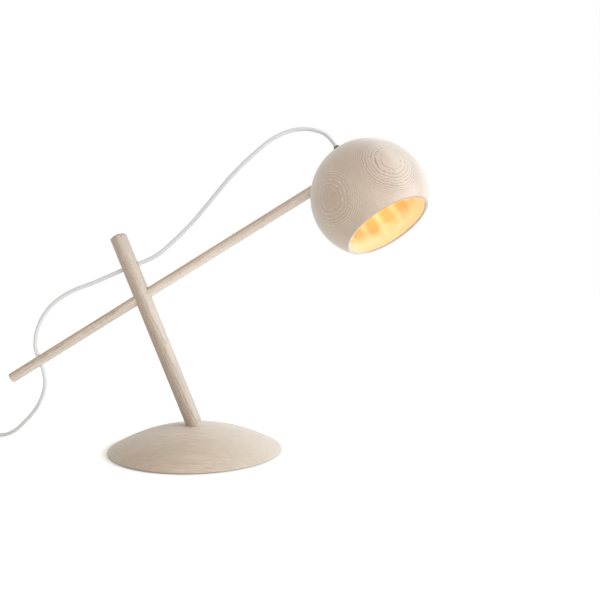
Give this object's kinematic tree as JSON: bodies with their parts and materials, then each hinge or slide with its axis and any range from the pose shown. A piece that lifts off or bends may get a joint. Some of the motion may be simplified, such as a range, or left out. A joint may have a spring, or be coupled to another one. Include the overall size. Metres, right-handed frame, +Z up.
{
  "type": "table lamp",
  "caption": "Oak table lamp with a domed foot, a leaning post, a thin arm that slides through it and a turning ball shade with a gold lining.",
  "frame": {"origin": "on the table, under the middle of the domed foot", "axes": "+Z up; the post and the arm lie in the XZ plane and the arm rises towards +X, so the cord leaves towards -X"},
  "size_m": [0.6674, 0.2539, 0.3904],
  "materials": {
    "oak": "whitewashed oak, fine matt grain",
    "steel": "zinc plated",
    "felt": "pressed felt",
    "brass": "turned",
    "bronze": "dark patinated",
    "rubber": "moulded",
    "gold_lining": "brushed gold lacquer",
    "ceramic": "unglazed white",
    "bulb_glass": "frosted warm white",
    "filament": "glowing",
    "cord_textile": "braided textile",
    "tie": "soft hook and loop strip",
    "switch_white": "fine satin",
    "switch_grey": "fine satin"
  },
  "bodies": {
    "base": {"base_dome": "oak", "base_weight": "steel", "weight_screws": "steel", "base_felt": "felt", "post": "oak", "post_insert": "brass", "post_washer": "steel", "post_bolt": "steel", "grip_rings": "rubber", "cord_to_post": "cord_textile", "cord_to_arm": "cord_textile", "cord_to_table": "cord_textile", "cord_to_coil": "cord_textile", "cord_coil": "cord_textile", "cord_tie": "tie", "cord_to_plug": "cord_textile", "switch_lower": "switch_white", "switch_upper": "switch_white", "switch_pin": "steel", "switch_contacts": "brass", "switch_screws": "steel", "switch_reliefs": "switch_white", "plug_body": "switch_white", "plug_pins": "brass", "plug_relief": "switch_white"},
    "arm": {"arm": "oak", "pivot_ring": "rubber"},
    "shade": {"shade_shell": "oak", "retaining_screw": "steel", "reflector": "gold_lining", "lamp_holder": "ceramic", "holder_contacts": "brass", "holder_screws": "steel", "gland_nut": "brass", "cord_gland": "bronze", "cord_core": "cord_textile", "bulb_base": "ceramic", "bulb_pins": "steel", "bulb_glass": "bulb_glass", "bulb_filament": "filament", "cord_at_shade": "cord_textile"},
    "rocker": {"switch_rocker": "switch_grey"}
  },
  "joints": [
    {"name": "arm_slide", "type": "slide", "parent": "base", "child": "arm", "axis": [0.8499, 0, 0.527], "range_m": [-0.08, 0.05], "deforming": ["cord_to_post", "cord_to_arm", "cord_to_table"]},
    {"name": "shade_turn", "type": "hinge", "parent": "arm", "child": "shade", "pos_m": [0.16022, 0, 0.32464], "axis": [0.8499, 0, 0.527], "range_deg": [-45, 70], "deforming": ["cord_at_shade"]},
    {"name": "switch_press", "type": "hinge", "parent": "base", "child": "rocker", "pos_m": [-0.303, -0.029, 0.0115], "axis": [1, 0, 0], "range_deg": [0, 16]}
  ]
}
